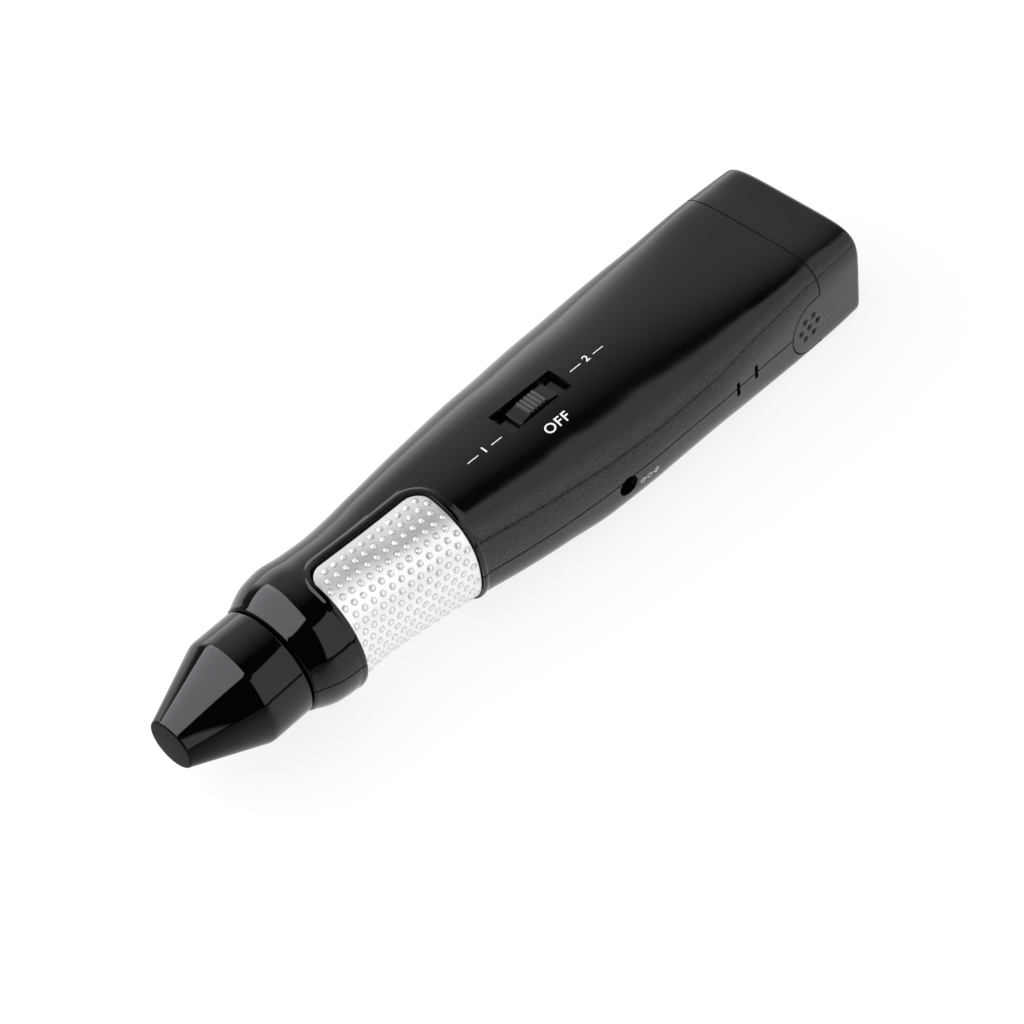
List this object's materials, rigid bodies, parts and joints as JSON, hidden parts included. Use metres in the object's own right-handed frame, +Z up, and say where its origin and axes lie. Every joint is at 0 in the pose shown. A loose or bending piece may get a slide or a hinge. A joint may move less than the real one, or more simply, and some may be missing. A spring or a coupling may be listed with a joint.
{
  "type": "diamond tester",
  "caption": "Hand-held diamond tester: black case, pull-off nose cap over a sprung probe, wrap-round steel touch plate, slide switch, power inlet and sliding battery cover.",
  "frame": {"origin": "centre of the bounding box in plan, on the flat underside it rests on", "axes": "+X runs from the nose cap to the battery cover, -Y is the side with the touch plate and power inlet, +Z is up"},
  "size_m": [0.17, 0.039, 0.0296],
  "materials": {
    "case_black": "satin moulded black",
    "dark_grey_plastic": "moulded dark grey",
    "polished_steel": "polished, dimpled",
    "screw_steel": "plated",
    "brass": "turned or bent",
    "copper": "turned",
    "board_green": "lacquered",
    "white_plastic": "plain",
    "clear_plastic": "clear",
    "violet_lens": "clear tinted",
    "red_lens": "clear tinted",
    "battery_jacket": "printed steel, left plain",
    "foam": "foam"
  },
  "bodies": {
    "housing": {"nose_cone": "dark_grey_plastic", "light_ring": "clear_plastic", "probe_barrel": "brass", "probe_spring": "screw_steel", "probe_bush": "white_plastic", "nose_board": "board_green", "uv_led": "violet_lens", "signal_led": "red_lens", "upper_shell": "case_black", "lower_shell": "case_black", "touch_plate": "polished_steel", "switch_body": "screw_steel", "battery": "battery_jacket", "battery_clip": "case_black", "main_board": "board_green", "board_screw_1": "screw_steel", "board_screw_2": "screw_steel", "board_screw_3": "screw_steel", "board_screw_4": "screw_steel", "shell_screw_1": "screw_steel", "shell_screw_2": "screw_steel", "shell_screw_3": "screw_steel", "shell_screw_4": "screw_steel", "buzzer": "case_black", "main_chip": "dark_grey_plastic", "capacitor": "screw_steel", "regulator": "dark_grey_plastic", "plate_contact": "brass", "dc_jack": "dark_grey_plastic", "ribbon_lead": "white_plastic", "lead_red": "red_lens", "lead_black": "case_black", "battery_pad": "foam"},
    "cap": {"nose_cap": "case_black"},
    "probe": {"probe_tip": "copper"},
    "knob": {"switch_knob": "dark_grey_plastic"},
    "cover": {"battery_cover": "case_black"}
  },
  "joints": [
    {"name": "cap_pull", "type": "slide", "parent": "housing", "child": "cap", "axis": [-1, 0, 0], "range_m": [0, 0.024]},
    {"name": "probe_press", "type": "slide", "parent": "housing", "child": "probe", "axis": [1, 0, 0], "range_m": [0, 0.0012], "stiffness_N_per_m": 400, "springref_m": -0.0008, "deforming": ["probe_spring"]},
    {"name": "switch_slide", "type": "slide", "parent": "housing", "child": "knob", "axis": [1, 0, 0], "range_m": [-0.0019, 0.0019]},
    {"name": "cover_slide", "type": "slide", "parent": "housing", "child": "cover", "axis": [1, 0, 0], "range_m": [0, 0.022]}
  ]
}
